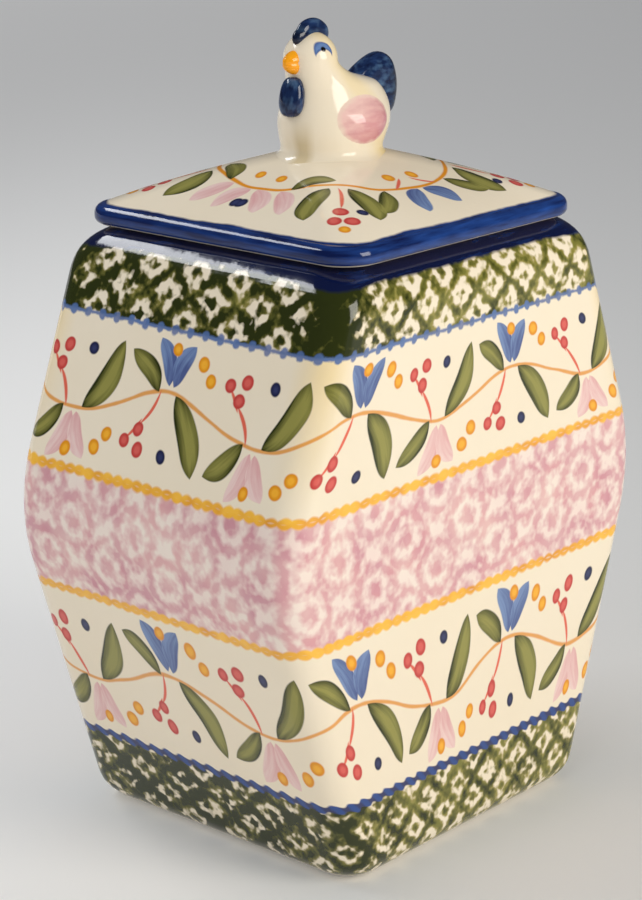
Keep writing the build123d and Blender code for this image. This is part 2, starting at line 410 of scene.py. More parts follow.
def stroke(across, up, start, end, width, bend):
    """How deep inside a brush stroke a point lies, its share along it, and how far aside of its middle."""
    length = hypot(end[0] - start[0], end[1] - start[1])
    way = ((end[0] - start[0]) / length, (end[1] - start[1]) / length)
    offset = -(start[0] * way[0] + start[1] * way[1]) / length
    along = up.math("MULTIPLY_ADD", across, way[0] / length, offset)
    along = up.math("MULTIPLY_ADD", up, way[1] / length, along)
    aside = up.math("MULTIPLY_ADD", across, -way[1], start[0] * way[1] - start[1] * way[0])
    aside = up.math("MULTIPLY_ADD", up, way[0], aside)
    swell = along * (4 - 4 * along)
    aside = aside.math("MULTIPLY_ADD", swell, -bend, aside)
    half_width = swell * (1 + STROKE_FULLNESS - STROKE_FULLNESS * swell) * (width / 2)
    return half_width - abs(aside), along, aside


def strokes(across, up, drawn, seed):
    """Several strokes in one colour: how deep inside the nearest a point lies, and its streaks."""
    found = None
    for start, end, width, bend in drawn:
        depth, along, aside = stroke(across, up, start, end, width, bend)
        within = depth > 0
        if found is None:
            found = depth, along * within, aside * within
        else:
            found = larger(found[0], depth), found[1] + along * within, found[2] + aside * within
    depth, along, aside = found
    grain = {0: along * STREAK_GRAIN[0], 1: aside * STREAK_GRAIN[1], 2: seed}
    streaks = mottle(depth.node("ShaderNodeCombineXYZ", {}, grain), 1.0, 3.0)
    return depth, streaks + STREAK_FADE[0] * (along - 0.5) + STREAK_FADE[1] * aside


def dots(across, up, drawn):
    """How far inside the nearest of several dots a point lies, in millimetres."""
    return larger(*[radius - from_centre(across - x, up - y) for x, y, radius in drawn])


# How soft the edges of painted things are, in millimetres
BAND_EDGE = 1.0
BRUSH_EDGE = 0.45
LINE_EDGE = 0.5
STALK_EDGE = 0.4
BARE_EDGE = 0.4
SHOULDER_EDGE = 0.9
DARK_RIM = 1.0


def spots(across, up, drawn, ground, rim, heart):
    """Dots of thin paint, darker at the rim where it dried last, laid over a ground colour."""
    depth = dots(across, up, drawn)
    return coat(edge(depth, BRUSH_EDGE), ground, coat(edge(depth - DARK_RIM, DARK_RIM), rim, heart))


CREAM = tone(243, 231, 208)
WARM_CREAM = tone(240, 224, 194)
CORNER_CREAM = tone(244, 216, 150)
BELT_WHITE = tone(246, 234, 228)
COBALT = tone(36, 74, 146)
DEEP_COBALT = tone(10, 26, 74)
# Dark cobalt for the shoulder, real paint that is also painted shade under the lid's edge
SHOULDER_COBALT_AND_SHADE = tone(10, 21, 60)
OLIVE = tone(122, 120, 54)
DEEP_OLIVE = tone(44, 50, 15)
PALE_OLIVE = tone(148, 144, 74)
YELLOW_OLIVE = tone(164, 152, 84)
CORNFLOWER = tone(104, 134, 182)
DEEP_BLUE = tone(48, 76, 138)
AMBER = tone(246, 178, 52)
DEEP_AMBER = tone(226, 146, 32)
HONEY = tone(251, 190, 54)
ROSE = tone(224, 168, 167)
PALE_ROSE = tone(238, 206, 199)
MAUVE = tone(207, 143, 153)
CORAL = tone(226, 104, 82)
RED = tone(196, 66, 62)
PALE_RED = tone(218, 98, 88)
NAVY = tone(34, 38, 72)
PALE_NAVY = tone(52, 58, 98)
CLAY = tone(206, 186, 156)
DARK_CLAY = tone(188, 164, 132)

# The levels that the bands lie between, and the bare ring under the foot, in painted levels
TOP_BAND = (175.2, 195.4)
BELT = (86.3, 128.4)
BASE_BAND = (2.6, 29.7)
BARE_FOOT = (-9.0, -0.6)

# Warmer cream and denser olive down the upright corners: its half width and softness, and its foot's level
# and softness
CORNER_TINT_HALF = 7.0
CORNER_TINT_EDGE = 10.0
CORNER_TINT_FROM = (150.0, 40.0)

# Sponged rings and lozenges, and how much the sponge's large and small holes break them up
RING_SPACING = (28.0, 26.0)
RING_RADIUS = 8.2
RING_HALF_WIDTH = 2.1
RING_SPOT = 3.6
RING_HOLES = (8.0, 2.2)
LOZENGE = (20.0, 15.0)
LOZENGE_REACH = 12.0
LOZENGE_INSIDE = 0.295
LOZENGE_SPOT = 0.15
LOZENGE_HOLES = (7.0, 1.2)

# The -X face is loaded with more paint than the others: from this X on, with this softness
LOADED_FROM = (-45.0, 30.0)

# Lines between the bands
BEAD_PITCH = 6.667
BEAD_RADIUS = 1.6
BEAD_LINE = 0.55
ROPE_HALF = 1.4
ROPE_SWELL = 0.55
ROPE_TWIST = 7.0
CHAIN_PITCH = REPEAT / 9
CHAIN_REACH = 0.8
CHAIN_HALF = 0.95

# The vine in the cream panels. A stroke has a start, end, width and bend, and a berry a place and radius.
PANEL_MIDDLES = (58.0, 151.8)
LOWER_STRETCH = 1.18
STEM_SWAY = 5.0
STEM_HALF = 0.35
VINE_LEAVES = (
    ((3, 4.5), (16.5, -17), 8.5, 2.6),
    ((-5, 4.5), (-19, 15.5), 6.5, -1.6),
)
BUD_PETALS = (((-1, 6.5), (-8, 21), 6.5, -1.6), ((1, 6.5), (8, 20), 6.5, 1.6))
PETAL_COVER = 0.94
BERRY_STALKS = (((-4, 5), (-9.5, -6), 1.3, 0.9), ((-9, -4), (-14, -10.5), 1.1, 0.4))
RED_BERRIES = ((-9.5, -7.5, 2.3), (-14.5, -11.5, 2.2), (-8, -13.5, 2.4))
AMBER_BERRIES = ((0, 18, 2.2), (12.5, 15.5, 2.5), (17, 11.0, 2.3))
NAVY_BERRIES = ((3, -13.5, 2.0),)

# The cobalt is brushed lower near the corners, and lower off the -X face, by so much
CORNER_DIP = 1.8
PLAIN_DIP = 1.2

# A wide brush leaves streaks that are long along a band and close across it
BRUSH_STREAK = (0.08, 0.9)
BRUSH_STREAK_SIZE = 1.6


def cream_ground(where):
    """Cream glaze, a little warmer where it lies thicker."""
    return coat(mottle(where, 45.0) * 0.7, CREAM, WARM_CREAM)


def leaf_green(depth, streaks):
    """Olive brushed in streaks, thin in the middle of a leaf and thick at its edge."""
    return coat(edge(0.6 * (streaks - 0.5) + 0.16 * (depth - 1.3), 0.6), DEEP_OLIVE, PALE_OLIVE)


def petal_paint(streaks, thick, thin):
    """Two depths of one colour, brushed in streaks."""
    return coat(edge(streaks - 0.5, 0.5), thick, thin)


def brush_streaks(run, level):
    """Streaks along a band, from 0 to 1."""
    stretched = {0: run * BRUSH_STREAK[0], 1: level * BRUSH_STREAK[1]}
    return mottle(run.node("ShaderNodeCombineXYZ", {}, stretched), BRUSH_STREAK_SIZE, 3.0)


material, where = new_glaze("jar_glaze")
stray = wander(where, size=24.0, reach=4.0)
tremble = wander(where, size=5.0, reach=1.1)
pores = mottle(where, 1.5, 3.0)
holes = mottle(where, 3.2, 1.0)
load = mottle(where, 8.0)
wrap = where.node("ShaderNodeUVMap", {"uv_map": "wrap"}, {})
run, level, _ = wrap.parts()
ragged = level + tremble[2]
colour = cream_ground(where)
corner_runs = [REPEAT * sum(FACE_REPEATS[:face]) for face in range(len(FACE_REPEATS) + 1)]
near_corner = larger(*[CORNER_TINT_HALF - abs(run - corner_run) for corner_run in corner_runs])
# Warmer cream down the upright corners, below the rim
corner_tint = edge(near_corner, CORNER_TINT_EDGE) * edge(level - CORNER_TINT_FROM[0], CORNER_TINT_FROM[1]) * (level < JAR_HEIGHT)
colour = coat(corner_tint * 0.6, colour, CORNER_CREAM)

# Pink belt: rings with a spot in each, sponged in a watery wash
reaches = []
for shift in (0.0, 0.5):
    aside = (run + 0.5 * stray[0] + tremble[0]) / RING_SPACING[0] + shift
    rise = (level + 0.6 * stray[2] + tremble[2] - BELT[0]) / RING_SPACING[1] + shift
    reaches.append(from_centre(from_middle(aside) * RING_SPACING[0], from_middle(rise) * RING_SPACING[1]))
reach = reaches[0].math("MINIMUM", *reaches)
sponged = larger(RING_HALF_WIDTH - abs(reach - RING_RADIUS), RING_SPOT - reach)
sponged = sponged + (holes - 0.5) * RING_HOLES[0] + (pores - 0.5) * RING_HOLES[1]
in_belt = between(ragged, *BELT, BAND_EDGE)
wash = edge(mottle(where, 20.0) - 0.5, 0.3)
colour = coat(in_belt * 0.5, colour, BELT_WHITE)
colour = coat(in_belt * (0.14 + 0.36 * wash + 0.5 * (load - 0.5)), colour, PALE_ROSE)
printed = in_belt * edge(sponged - 0.25, 3.4) * (0.5 + 0.7 * load)
colour = coat(printed, colour, coat(wash, ROSE, MAUVE))

# Olive bands: sponged lozenges with a spot in each, heavier on the -X face and down the upright corners
slant = (level - sum(TOP_BAND) / 2) / LOZENGE[1]
along = (run + tremble[0]) / LOZENGE[0]
across = larger(abs(from_middle(along + slant)), abs(from_middle(along - slant)))
sponged = larger(across - LOZENGE_INSIDE, LOZENGE_SPOT - across) * LOZENGE_REACH
sponged = sponged + (holes - 0.5) * LOZENGE_HOLES[0] + (pores - 0.5) * LOZENGE_HOLES[1]
east, _, _ = where.parts()
loaded = edge(LOADED_FROM[0] - east, LOADED_FROM[1])
sponged = sponged + 3.5 * corner_tint + 0.45 * loaded + 0.5 * (level < BASE_BAND[1]) - 0.4
top_band = edge(ragged - TOP_BAND[0], BAND_EDGE) * edge(JAR_HEIGHT - level, BAND_EDGE)
in_bands = larger(top_band, between(ragged, *BASE_BAND, BAND_EDGE))
dense = edge(0.3 * sponged + 2.6 * (load - 0.5) + 0.8 * (pores - 0.5) + 0.6 * loaded - 0.65, 1.1)
thin_olive = coat(edge(sponged - 0.9, 1.4), YELLOW_OLIVE, OLIVE)
colour = coat(in_bands * edge(sponged, 1.2), colour, coat(dense, thin_olive, DEEP_OLIVE))

# Cream panels: a trailing vine, turned over from one repeat to the next
upper = level > sum(BELT) / 2
turn = (run + stray[0]) / REPEAT
number = turn.math("FLOOR", turn)
flip = 1 - 4 * (number * 0.5).math("FRACT", number * 0.5)
across = from_middle(turn) * REPEAT
height = level + stray[2] - (PANEL_MIDDLES[0] + (PANEL_MIDDLES[1] - PANEL_MIDDLES[0]) * upper)
up = height / (LOWER_STRETCH - (LOWER_STRETCH - 1) * upper) * flip
in_panels = between(ragged, BASE_BAND[1], TOP_BAND[0], BAND_EDGE) * (1 - in_belt)
sway = across.math("COSINE", across * (pi / REPEAT)) * STEM_SWAY
stem = STEM_HALF + 0.5 * load - abs(up - sway)
painted = coat(edge(stem, LINE_EDGE) * 0.85, colour, DEEP_AMBER)
seed = number * 3.7 + upper * 11.3
depth, _ = strokes(across, up, BERRY_STALKS, seed)
painted = coat(edge(depth, STALK_EDGE), painted, CORAL)
depth, streaks = strokes(across, up, VINE_LEAVES, seed)
painted = coat(edge(depth, BRUSH_EDGE), painted, leaf_green(depth, streaks))
depth, streaks = strokes(across, up, BUD_PETALS, seed)
blue_petal = petal_paint(streaks, DEEP_BLUE, CORNFLOWER)
pink_petal = petal_paint(streaks, ROSE, PALE_ROSE)
petal_colour = coat(flip * 0.5 + 0.5, pink_petal, blue_petal)
painted = coat(edge(depth, BRUSH_EDGE) * PETAL_COVER, painted, petal_colour)
for berries, rim, heart in ((RED_BERRIES, RED, PALE_RED), (AMBER_BERRIES, DEEP_AMBER, AMBER),
                            (NAVY_BERRIES, NAVY, PALE_NAVY)):
    painted = spots(across, up, berries, painted, rim, heart)
colour = coat(in_panels, colour, painted)

# Lines between the bands: a beaded blue line, a blue rope, and amber chains
bead = from_middle(run / BEAD_PITCH) * BEAD_PITCH
aside = ragged - TOP_BAND[0]
beads = larger(BEAD_LINE - abs(aside), dots(bead, aside, ((0, 0, BEAD_RADIUS),))) + 0.8 * (pores - 0.5)
bead_blue = coat(load, DEEP_BLUE, CORNFLOWER)
colour = coat(edge(beads, 0.6) * (0.9 + 0.4 * (load - 0.5)), colour, bead_blue)
twist = (run / BEAD_PITCH + level / ROPE_TWIST) * (2 * pi)
rope = ROPE_HALF + ROPE_SWELL * twist.math("SINE", twist)
strand = edge(rope - ROPE_HALF + 0.6 * (pores - 0.5), 0.6)
rope_blue = coat(strand, PALE_NAVY, DEEP_BLUE)
colour = coat(edge(rope - abs(ragged - BASE_BAND[1]), LINE_EDGE), colour, rope_blue)
link = run * (pi / CHAIN_PITCH)
link = link.math("SINE", link) * CHAIN_REACH
chain_amber = coat(edge(load - 0.42, 0.4), DEEP_AMBER, HONEY)
for middle in BELT:
    aside = ragged - middle
    chain = larger(0 - abs(aside - link), 0 - abs(aside + link)) + CHAIN_HALF + 1.2 * (load - 0.5)
    colour = coat(edge(chain, 0.8) * 0.95, colour, chain_amber)

# Cobalt shoulder and rim, brushed lower at the corners, and the bare foot ring
# The shoulder is mostly the darker cobalt: real paint, and also painted shade under the lid's edge
cobalt = coat(edge(brush_streaks(run, level) - 0.8, 0.5), SHOULDER_COBALT_AND_SHADE, COBALT)
dip = CORNER_DIP * edge(near_corner + 4, 30.0) + PLAIN_DIP * (1 - loaded)
brushed = edge(ragged + dip - TOP_BAND[1], SHOULDER_EDGE) * edge(RIM_PAINT - level, SHOULDER_EDGE)
colour = coat(brushed, colour, cobalt)
bare = between(level, *BARE_FOOT, BARE_EDGE)
colour = coat(bare, colour, coat(pores, CLAY, DARK_CLAY))
fire(material, where, colour, gloss(load) + CLAY_ROUGHNESS * bare)
jar.data.materials.append(material)
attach(jar, "jar")
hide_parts("jar_body")

# Lid
# A cast four-sided dome with a thick rolled edge, on a skirt that drops into the jar's mouth.
# It is glazed cream, its edge is brushed cobalt, and a painted wreath runs round the hen.

LID_HALF = (58.0, 57.9)
LID_ROUND = 12.5
LID_EDGE = 6.3
LID_EDGE_ROUND = 3.2
LID_RISE = 15.2
LID_WALL = 6.0
LID_FAN = (4.0, 4.0, 3.0)
UNDER_ROUND = 2.2
DOME_FULLNESS = 0.25
DOME_STEPS = 40
EDGE_TOP = JAR_HEIGHT + LID_EDGE
CROWN = EDGE_TOP + LID_RISE
CROWN_HALF = (17.5, 14.8)
CROWN_ROUND = 13.3
SKIRT_GAP = 1.5
SKIRT_FOOT = JAR_HEIGHT - 11.0
SKIRT_CHAMFER = 1.0
SEAT_CHAMFER = 0.6
HOLLOW_HALF = (33.3, 33.2)
HOLLOW_ROUND = 9.5
HOLLOW_STEPS = 12
GROOVE = (192.5, 197.5)
GROOVE_DEPTH = 2.0

# The skirt's outside from its foot up to the lid's seat: how far in each ring lies, and its level
SKIRT_PROFILE = (
    (SKIRT_CHAMFER, SKIRT_FOOT),
    (0, SKIRT_FOOT + SKIRT_CHAMFER),
    (0, GROOVE[0]),
    (GROOVE_DEPTH, GROOVE[0]),
    (GROOVE_DEPTH, GROOVE[1]),
    (0, GROOVE[1]),
    (0, JAR_HEIGHT - SEAT_CHAMFER),
    (-SEAT_CHAMFER, JAR_HEIGHT))


def dome_ring(halves, radius, low, high, share):
    """One ring of a soft dome that draws in to the flat crown under the hen."""
    drawn = share * (1 - DOME_FULLNESS + DOME_FULLNESS * share)
    sizes = [start + (end - start) * drawn for start, end in
             zip((*halves, radius), (*CROWN_HALF, CROWN_ROUND))]
    return (*sizes, low + (high - low) * share)


lid_rings = [(*LID_FAN, CROWN - LID_WALL)]
for share in np.linspace(1, 0, HOLLOW_STEPS):
    lid_rings.append(dome_ring(HOLLOW_HALF, HOLLOW_ROUND, JAR_HEIGHT, CROWN - LID_WALL, share))
for out, level in ((0, SKIRT_FOOT + SKIRT_CHAMFER), (SKIRT_CHAMFER, SKIRT_FOOT)):
    lid_rings.append((HOLLOW_HALF[0] + out, HOLLOW_HALF[1] + out, HOLLOW_ROUND, level))
for inset, level in SKIRT_PROFILE:
    gap = SKIRT_GAP + inset
    lid_rings.append((MOUTH_HALF[0] - gap, MOUTH_HALF[1] - gap, MOUTH_ROUND - gap, level))
for start, end, radius, middle in ((-pi / 2, 0, UNDER_ROUND, JAR_HEIGHT + UNDER_ROUND),
                                   (0, pi / 2, LID_EDGE_ROUND, EDGE_TOP - LID_EDGE_ROUND)):
    for turn in np.linspace(start, end, ROUND_STEPS):
        inset = radius * (1 - cos(turn))
        level = middle + radius * sin(turn)
        lid_rings.append((LID_HALF[0] - inset, LID_HALF[1] - inset, LID_ROUND - inset, level))
equator = len(lid_rings) - ROUND_STEPS
top_halves = [half - LID_EDGE_ROUND for half in LID_HALF]
for share in np.linspace(0, 1, DOME_STEPS)[1:]:
    lid_rings.append(dome_ring(top_halves, LID_ROUND - LID_EDGE_ROUND, EDGE_TOP, CROWN, share))
lid_rings.append((*LID_FAN, CROWN))

# The lid's painted level is the way along its section, counted from the widest line of its edge
steps = np.diff(np.array(lid_rings)[:, [0, 3]], axis=0)
path = np.append(0, np.cumsum(np.linalg.norm(steps, axis=1)))
rings = [square_ring(*ring) for ring in lid_rings]
wraps = [wrap_of(ring, paint) for ring, paint in zip(rings, path - path[equator])]
lid = lay_mesh("lid_dome", rings, wraps)

BLUE_ON_TOP = 5.8
BLUE_BELOW = 2.8
BLUE_EDGE = 0.8
PAINTED_FROM = 3.0
BARE_SEAT = (-18.0, -4.0)
SEAT_CLAY = tone(168, 146, 116)
WREATH_RADIUS = 36.0
WREATH_HALF = 0.5
WREATH_LEAVES = (
    ((29, 25), (47, 30), 8.5, -2.0),
    ((25, 29), (31, 47), 8.5, 2.0),
    ((34, 13), (23, 23), 6.0, 1.5),
    ((14, 34), (26, 44), 6.5, 1.5),
)
SIDE_PETALS = (((37, 1.2), (47.5, 9), 7.0, 1.6), ((35.5, 10), (46, 19), 6.5, 1.2))
FRONT_PETALS = (((1.2, 37), (9, 47.5), 7.0, -1.6),)
WREATH_STALKS = (((27, 27), (36, 36), 1.2, 0.6), ((2, 30), (9, 35), 1.1, 0.5))
WREATH_RED = ((38, 37.5, 2.5), (43.5, 40, 2.4), (40, 44, 2.5))
WREATH_AMBER = ((45.5, 45.5, 1.9), (29, 5, 2.0), (5, 28.5, 2.2))
WREATH_NAVY = ((44, 1, 2.0), (33, 41.5, 1.8))

material, where = new_glaze("lid_glaze")
stray = wander(where, size=24.0, reach=4.5)
tremble = wander(where, size=5.0, reach=1.1)
load = mottle(where, 8.0)
wrap = where.node("ShaderNodeUVMap", {"uv_map": "wrap"}, {})
run, level, _ = wrap.parts()
east, north, _ = where.parts()
across = abs(east + stray[0])
up = abs(north + stray[1])
colour = cream_ground(where)
on_top = edge(level - PAINTED_FROM, BAND_EDGE)
from_line = abs(from_centre(across, up) - WREATH_RADIUS)
colour = coat(on_top * edge(WREATH_HALF + 0.3 * load - from_line, LINE_EDGE), colour, DEEP_AMBER)
seed = (east > 0) * 5.1 + (north > 0) * 9.7
depth, _ = strokes(across, up, WREATH_STALKS, seed)
painted = coat(edge(depth, STALK_EDGE), colour, CORAL)
depth, streaks = strokes(across, up, WREATH_LEAVES, seed)
painted = coat(edge(depth, BRUSH_EDGE), painted, leaf_green(depth, streaks))
for petals, thick, thin in ((SIDE_PETALS, ROSE, PALE_ROSE), (FRONT_PETALS, DEEP_BLUE, CORNFLOWER)):
    depth, streaks = strokes(across, up, petals, seed)
    painted = coat(edge(depth, BRUSH_EDGE) * PETAL_COVER, painted, petal_paint(streaks, thick, thin))
for berries, rim, heart in ((WREATH_RED, RED, PALE_RED), (WREATH_AMBER, DEEP_AMBER, AMBER),
                            (WREATH_NAVY, NAVY, PALE_NAVY)):
    painted = spots(across, up, berries, painted, rim, heart)
colour = coat(on_top, colour, painted)
# Painted light: the edge's cobalt is paler on all but the -X side, which stands in shade
painted_light_paler = 0.12 * edge(east + 40, 40.0)
cobalt = coat(edge(brush_streaks(run, level) - 0.62 + painted_light_paler, 0.5), DEEP_COBALT, COBALT)
brushed = level + 0.8 * tremble[0] + 0.5 * stray[2]
colour = coat(edge(BLUE_ON_TOP - brushed, BLUE_EDGE) * edge(level + BLUE_BELOW, BLUE_EDGE), colour, cobalt)
bare = between(level, *BARE_SEAT, BARE_EDGE)
colour = coat(bare, colour, SEAT_CLAY)
fire(material, where, colour, gloss(load) + CLAY_ROUGHNESS * bare)
lid.data.materials.append(material)
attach(lid, "lid")
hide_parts("lid")

# Seal ring
# A soft moulded silicone ring, stretched into the groove round the lid's skirt. Its two lips
# bend a little against the jar's mouth, which keeps the air out.

SEAL_GAP = 0.3
SEAL_INDEX = 1.41
SEAL_ROUGHNESS = 0.42
SEAL_WHITE = tone(226, 224, 216)
SEAL_GREY = tone(208, 205, 196)

# Each ring of the seal: how far in from its lips it lies, and how high above the groove's foot
SEAL_PROFILE = (
    (3.2, 0), (1.0, 0), (0.25, 0.15), (0, 0.55), (0.2, 1.0), (1.0, 1.4), (1.2, 2.5),
    (1.0, 3.6), (0.2, 4.0), (0, 4.45), (0.25, 4.85), (1.0, 5.0), (3.2, 5.0))
seal_rings = []
for inset, rise in SEAL_PROFILE:
    gap = SEAL_GAP + inset
    seal_rings.append(square_ring(
        MOUTH_HALF[0] - gap, MOUTH_HALF[1] - gap, MOUTH_ROUND - gap, GROOVE[0] + rise))
seal = lay_mesh("seal_ring", seal_rings, loop=True)
material, where = new_glaze("seal_silicone")
colour = coat(mottle(where, 6.0), SEAL_WHITE, SEAL_GREY)
fire(material, where, colour, SEAL_ROUGHNESS + 0.1 * mottle(where, 3.0), SEAL_INDEX)
seal.data.materials.append(material)
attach(seal, "lid")
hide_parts("lid_seal")

# Hen's body
# A plump hollow-cast hen, luted to the lid's crown with slip so that its foot runs out into the dome.
# Cream glaze pools a little yellow in its hollows, and a blue lid is painted over each eye.

# Level above the crown, centre, half length and half width of each of the hen's main sections
HEN_SECTIONS = np.array((
    (0.0, -0.2, 17.2, 14.8),
    (11.5, 1.4, 20.7, 16.0),
    (21.5, 0.4, 17.7, 12.0),
    (26.0, -6.5, 11.1, 9.6),
    (31.0, -9.8, 8.7, 8.7)))
HEAD_LEVEL, HEAD_X, HEAD_RADIUS, _ = HEN_SECTIONS[-1]
HEAD = (HEAD_X, 0.0, CROWN + HEAD_LEVEL)
FOOT_FLARE = 4.6
FLARE_FOOT = -1.6
FLARE_HEIGHT = 5.5
HEN_STEPS = 72
HEN_LEVELS = 72
HEAD_STEPS = 18

# The curve runs smoothly through the sections, with the mean slope of the stretches beside each one
section_levels = HEN_SECTIONS[:, 0]
section_slopes = np.zeros((len(HEN_SECTIONS), 3))
section_slopes[0] = (HEN_SECTIONS[1] - HEN_SECTIONS[0])[1:] / section_levels[1]
spans = (section_levels[2:] - section_levels[:-2])[:, None]
section_slopes[1:-1] = (HEN_SECTIONS[2:] - HEN_SECTIONS[:-2])[:, 1:] / spans


def hen_section(level):
    """The hen's centre, half length and half width at a level."""
    index = np.clip(np.searchsorted(section_levels, level) - 1, 0, len(HEN_SECTIONS) - 2)
    gap = section_levels[index + 1] - section_levels[index]
    share = (np.clip(level, 0, HEAD_LEVEL) - section_levels[index]) / gap
    low, low_slope = HEN_SECTIONS[index, 1:].T, section_slopes[index].T * gap
    high, high_slope = HEN_SECTIONS[index + 1, 1:].T, section_slopes[index + 1].T * gap
    keep = (1 + 2 * share) * (1 - share) ** 2
    bend = low_slope * share * (1 - share) ** 2 - high_slope * share ** 2 * (1 - share)
    return low * keep + high * (1 - keep) + bend


def oval_ring(centre, half_length, half_width, level):
    """Points round a level oval."""
    turns = np.linspace(0, 2 * pi, HEN_STEPS, endpoint=False)
    return np.stack([centre + half_length * np.cos(turns), half_width * np.sin(turns),
                     np.full(HEN_STEPS, level)], axis=1)


hen_rings = []
for level in np.linspace(FLARE_FOOT, HEAD_LEVEL, HEN_LEVELS):
    centre, half_length, half_width = hen_section(level)
    flare = FOOT_FLARE * max(0, 1 - (level - FLARE_FOOT) / FLARE_HEIGHT) ** 3
    hen_rings.append(oval_ring(centre, half_length + flare, half_width + flare, CROWN + level))
for turn in np.linspace(0, pi / 2, HEAD_STEPS)[1:-1]:
    radius = HEAD_RADIUS * cos(turn)
    hen_rings.append(oval_ring(HEAD[0], radius, radius, HEAD[2] + HEAD_RADIUS * sin(turn)))
hen = lay_mesh("hen", hen_rings)

# The eyes, from the middle of the head: a lid cut off by a circle below it, and a pupil
EYELID = (-2.1, 2.9, 3.1)
BELOW_EYELID = (-2.2, 0.7, 3.0)
PUPIL = (-2.3, 3.8, 0.8)
PUPIL_BLACK = tone(14, 12, 14)

# Where the glaze pooled yellow: a slanting line behind the neck and the foot under the tail. Tan low on the
# front of the breast
NAPE_LINE = 10.75
NAPE_SLOPE = 0.5
NAPE_HALF = 4.5
TAIL_POOL_FROM = 4.0
TAIL_POOL_TOP = 5.0
BREAST_MIDDLE = -3.6
BREAST_HALF = 2.6
BREAST_FROM = -12.0
BREAST_TOP = 9.0
POOL_YELLOW = tone(240, 212, 140)
BREAST_TAN = tone(200, 176, 120)

material, where = new_glaze("hen_glaze")
tremble = wander(where, size=3.0, reach=0.5)
east, north, height = where.parts()
above_crown = height - CROWN
across = east - HEAD[0] + tremble[0]
up = height - HEAD[2] + tremble[2]
uneven = mottle(where, 12.0) - 0.5
colour = cream_ground(where)
from_nape = abs(east + NAPE_SLOPE * above_crown - NAPE_LINE)
colour = coat(edge(NAPE_HALF - from_nape + 4 * uneven, 5.0) * 0.4, colour, POOL_YELLOW)
low_down = edge(TAIL_POOL_TOP + 5 * uneven - above_crown, 8.0)
colour = coat(low_down * edge(east - TAIL_POOL_FROM, 10.0) * 0.5, colour, POOL_YELLOW)
# Tan low on the front of the breast, strongest near its foot
breast = edge(BREAST_HALF - abs(north - BREAST_MIDDLE) + 3 * uneven, 3.0) * edge(BREAST_FROM - east, 4.0)
colour = coat(breast * edge(BREAST_TOP - above_crown, 8.0) * 0.6, colour, BREAST_TAN)
eyelid = dots(across, up, (EYELID,))
crescent = eyelid.math("MINIMUM", eyelid, -1 * dots(across, up, (BELOW_EYELID,)))
lid_blue = coat(edge(crescent - 0.3 + 0.5 * (mottle(where, 2.0) - 0.5), 0.7), DEEP_BLUE, CORNFLOWER)
colour = coat(edge(crescent, 0.35), colour, lid_blue)
colour = coat(edge(dots(across, up, (PUPIL,)), 0.3), colour, PUPIL_BLACK)
fire(material, where, colour)
hen.data.materials.append(material)
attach(hen, "lid")
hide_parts("hen_body")

# Comb, wattle and tail
# Pinched and pressed from clay, luted to the hen and brushed with cobalt, thick at the edges and
# streaked paler where the brush ran dry.

DRY_COBALT = tone(84, 114, 144)
THIN_COBALT = tone(34, 58, 102)
THICK_COBALT = tone(12, 24, 56)
BLACK_COBALT = tone(4, 8, 26)
PILLOW_STEPS = 14
PILLOW_MIDDLE = 0.04


def cobalt_glaze(name, streak, dark_from, dark_over):
    """Cobalt brushed in streaks, which run where the streak vector is least, and darker to one end of X."""
    material, where = new_glaze(name)
    marks = where.node("ShaderNodeVectorMath", {"operation": "MULTIPLY"}, {0: where, 1: streak})
    dry = mottle(marks, 1.0, 4.0)
    patch = mottle(where, 5.0)
    east, _, _ = where.parts()
    colour = coat(edge(dry - 0.5, 0.4), THICK_COBALT, THIN_COBALT)
    colour = coat(edge(dry * 0.6 + patch * 0.7 - 0.72, 0.25) * 0.8, colour, DRY_COBALT)
    colour = coat(edge((east - dark_from) / dark_over, 1.0) * 0.85, colour, BLACK_COBALT)
    fire(material, where, colour)
    return material


def pillow(name, outline, half_thickness, fullness):
    """A soft flat form with a rounded edge, from an outline in the hen's middle plane."""
    outline = np.array(outline)
    centre = outline.mean(0)
    shares = np.sin(np.linspace(PILLOW_MIDDLE, pi / 2, PILLOW_STEPS))
    rings = []
    for side, order in ((-1, shares), (1, shares[::-1][1:])):
        for share in order:
            points = centre + (outline - centre) * share
            thick = side * half_thickness * (1 - share ** fullness) ** 0.5
            rings.append(np.insert(points, 1, thick, axis=1))
    return lay_mesh(name, rings)


def round_head(reach, turn):
    """A point in the hen's middle plane, by its distance from the head's middle and its lean in degrees."""
    return HEAD[0] + reach * sin(radians(turn)), HEAD[2] + reach * cos(radians(turn))


# The comb's lobes are discs on the head's outline, each with its lean in degrees and its radius
COMB_LOBES = ((-38, 2.6), (-15, 3.5), (0, 3.9), (15, 4.0), (32, 3.6))
COMB_BLEND = 22
COMB_HALF_THICKNESS = 2.3
COMB_FULLNESS = 3.0
COMB_REACH = (-54, 60)
COMB_SUNK = 1.0
COMB_ROOT = 5.0
comb_outline = []
for turn in np.linspace(*COMB_REACH, 60):
    reaches = [HEAD_RADIUS - COMB_SUNK]
    for lean, radius in COMB_LOBES:
        offset = radians(turn - lean)
        spare = radius ** 2 - (HEAD_RADIUS * sin(offset)) ** 2
        if spare > 0:
            reaches.append(HEAD_RADIUS * cos(offset) + sqrt(spare))
    reach = np.sum(np.array(reaches) ** COMB_BLEND) ** (1 / COMB_BLEND)
    comb_outline.append(round_head(reach, turn))
for turn in np.linspace(*COMB_REACH[::-1], 20):
    comb_outline.append(round_head(COMB_ROOT, turn))
comb = pillow("comb", comb_outline, COMB_HALF_THICKNESS, COMB_FULLNESS)
material = cobalt_glaze("comb_cobalt", streak=(0.15, 0.5, 0.5), dark_from=-14.5, dark_over=-5.0)
comb.data.materials.append(material)
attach(comb, "lid")
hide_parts("hen_comb")

